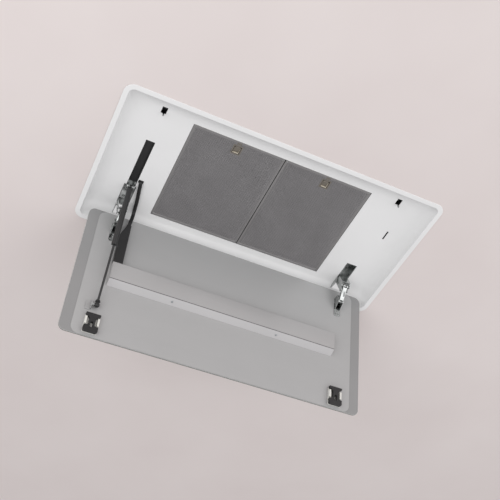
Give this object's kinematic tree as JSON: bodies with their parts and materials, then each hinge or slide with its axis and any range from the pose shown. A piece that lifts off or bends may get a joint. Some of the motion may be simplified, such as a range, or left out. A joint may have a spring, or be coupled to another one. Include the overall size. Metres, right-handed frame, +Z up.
{
  "type": "range hood insert",
  "caption": "Flush ceiling extractor: a white tray with mesh filters, a blower above, and a grey glass door with a lamp strip that drops open on linkage hinges and a gas strut",
  "frame": {"origin": "middle of the ceiling opening, in the plane of the trim rim's lower face", "axes": "+X along the long side, +Y from the catch side towards the hinge side, +Z up"},
  "size_m": [0.9, 0.4914, 0.59],
  "materials": {
    "tray_paint": "satin white powder coat",
    "zinc_sheet": "galvanised",
    "chrome_steel": "bright plated",
    "dark_steel": "oiled",
    "black_plastic": "fine grain",
    "black_rubber": "matt",
    "strut_paint": "black satin",
    "filter_frame": "satin",
    "filter_mesh": "expanded mesh",
    "latch_brass": "dull",
    "wheel_steel": "galvanised",
    "motor_paint": "grey satin",
    "white_plastic": "smooth",
    "pane_glass": "polished, tinted grey",
    "plate_paint": "grey satin",
    "lamp_paint": "light grey satin",
    "board_white": "solder mask",
    "diffuser": "opal"
  },
  "bodies": {
    "root": {"tray": "tray_paint", "housing": "zinc_sheet", "stud_nuts": "zinc_sheet", "suspension_brackets": "zinc_sheet", "filter_seat": "zinc_sheet", "blower_scroll": "zinc_sheet", "inlet_rings": "zinc_sheet", "blower_mounts": "black_rubber", "motor": "motor_paint", "motor_bracket": "zinc_sheet", "outlet_collar": "zinc_sheet", "flap_axle": "chrome_steel", "control_box": "white_plastic", "lamp_driver": "white_plastic", "mains_gland": "black_plastic", "strut_pocket": "black_plastic", "lead_grommet": "black_rubber", "striker_boxes": "black_plastic", "striker_posts": "chrome_steel", "door_sensor": "black_plastic", "hinge_channels": "chrome_steel", "hinge_channel_screws": "chrome_steel", "hinge_channel_rivets": "chrome_steel", "strut_fork": "chrome_steel", "lamp_lead": "black_rubber"},
    "door": {"door_glass": "pane_glass", "door_plate": "plate_paint", "lamp_housing": "lamp_paint", "lamp_screws": "zinc_sheet", "led_board": "board_white", "lamp_diffuser": "diffuser", "cable_cover": "black_plastic", "catch_bases": "white_plastic", "hinge_feet": "chrome_steel", "hinge_foot_pins": "chrome_steel", "hinge_foot_screws": "chrome_steel", "strut_bracket": "zinc_sheet"},
    "main_links": {"hinge_main_links": "chrome_steel", "hinge_link_pins": "chrome_steel"},
    "wide_links": {"hinge_wide_links": "chrome_steel"},
    "arms": {"hinge_arms": "chrome_steel", "hinge_arm_pins": "chrome_steel"},
    "guide_links": {"hinge_guide_links": "dark_steel"},
    "strut_tube": {"strut_tube": "strut_paint", "strut_guide": "black_plastic"},
    "strut_rod": {"strut_rod": "strut_paint", "strut_socket": "black_plastic", "strut_stud": "chrome_steel"},
    "catch_left": {"catch_left": "black_plastic"},
    "catch_right": {"catch_right": "black_plastic"},
    "filter_left": {"filter_frame_left": "filter_frame", "filter_mesh_left": "filter_mesh"},
    "filter_right": {"filter_frame_right": "filter_frame", "filter_mesh_right": "filter_mesh"},
    "latch_left": {"filter_latch_left": "latch_brass"},
    "latch_right": {"filter_latch_right": "latch_brass"},
    "fan": {"fan_wheel": "wheel_steel", "fan_shaft": "chrome_steel"},
    "flap_left": {"flap_left": "wheel_steel"},
    "flap_right": {"flap_right": "wheel_steel"}
  },
  "joints": [
    {"name": "door_swing", "type": "hinge", "parent": "root", "child": "door", "pos_m": [0, 0.182, 0], "axis": [-1, 0, 0], "range_deg": [0, 104], "deforming": ["lamp_lead"]},
    {"name": "main_link_turn", "type": "hinge", "parent": "root", "child": "main_links", "pos_m": [0, 0.157, 0.024], "axis": [-1, 0, 0], "range_deg": [0, 104.5]},
    {"name": "wide_link_turn", "type": "hinge", "parent": "root", "child": "wide_links", "pos_m": [0, 0.148, 0.033], "axis": [-1, 0, 0], "range_deg": [0, 104.5]},
    {"name": "arm_turn", "type": "hinge", "parent": "door", "child": "arms", "pos_m": [0, 0.16863, -0.04559], "axis": [-1, 0, 0], "range_deg": [-104.5, 0]},
    {"name": "guide_link_turn", "type": "hinge", "parent": "door", "child": "guide_links", "pos_m": [0, 0.16635, -0.02975], "axis": [-1, 0, 0], "range_deg": [-104.5, 0]},
    {"name": "strut_swing", "type": "hinge", "parent": "root", "child": "strut_tube", "pos_m": [-0.3367, 0.085, 0.025], "axis": [-1, 0, 0], "range_deg": [0, 113.8]},
    {"name": "strut_stroke", "type": "slide", "parent": "strut_tube", "child": "strut_rod", "axis": [0, 0.4421, -0.897], "range_m": [-0.1523, 0]},
    {"name": "catch_left_slide", "type": "slide", "parent": "door", "child": "catch_left", "axis": [0, -0.2419, 0.9703], "range_m": [0, 0.003], "stiffness_N_per_m": 400, "springref_m": -0.003},
    {"name": "catch_right_slide", "type": "slide", "parent": "door", "child": "catch_right", "axis": [0, -0.2419, 0.9703], "range_m": [0, 0.003], "stiffness_N_per_m": 400, "springref_m": -0.003},
    {"name": "filter_left_tilt", "type": "hinge", "parent": "root", "child": "filter_left", "pos_m": [-0.1285, 0.1525, 0.0299], "axis": [-1, 0, 0], "range_deg": [-55, 0]},
    {"name": "filter_right_tilt", "type": "hinge", "parent": "root", "child": "filter_right", "pos_m": [0.1285, 0.1525, 0.0299], "axis": [-1, 0, 0], "range_deg": [-55, 0]},
    {"name": "filter_left_latch_slide", "type": "slide", "parent": "filter_left", "child": "latch_left", "axis": [0, -1, 0], "range_m": [0, 0.004]},
    {"name": "filter_right_latch_slide", "type": "slide", "parent": "filter_right", "child": "latch_right", "axis": [0, -1, 0], "range_m": [0, 0.004]},
    {"name": "fan_spin", "type": "hinge", "parent": "root", "child": "fan", "pos_m": [0.04, 0.011, 0.129], "axis": [0, 0, 1], "continuous": true},
    {"name": "flap_left_turn", "type": "hinge", "parent": "root", "child": "flap_left", "pos_m": [0.302, -0.07271, 0.13], "axis": [0, 0, 1], "range_deg": [0, 80], "stiffness_Nm_per_rad": 0.02, "springref_deg": -11.46},
    {"name": "flap_right_turn", "type": "hinge", "parent": "root", "child": "flap_right", "pos_m": [0.302, -0.07271, 0.13], "axis": [0, 0, -1], "range_deg": [0, 80], "stiffness_Nm_per_rad": 0.02, "springref_deg": -11.46}
  ],
  "couplings": [
    {"joint": "main_link_turn", "follows": "door_swing", "ratio": 1},
    {"joint": "wide_link_turn", "follows": "door_swing", "ratio": 1},
    {"joint": "arm_turn", "follows": "door_swing", "ratio": -1},
    {"joint": "guide_link_turn", "follows": "door_swing", "ratio": -1},
    {"joint": "strut_swing", "follows": "door_swing", "ratio": 1.0913},
    {"joint": "strut_stroke", "follows": "door_swing", "m_per_rad": -0.08387}
  ]
}
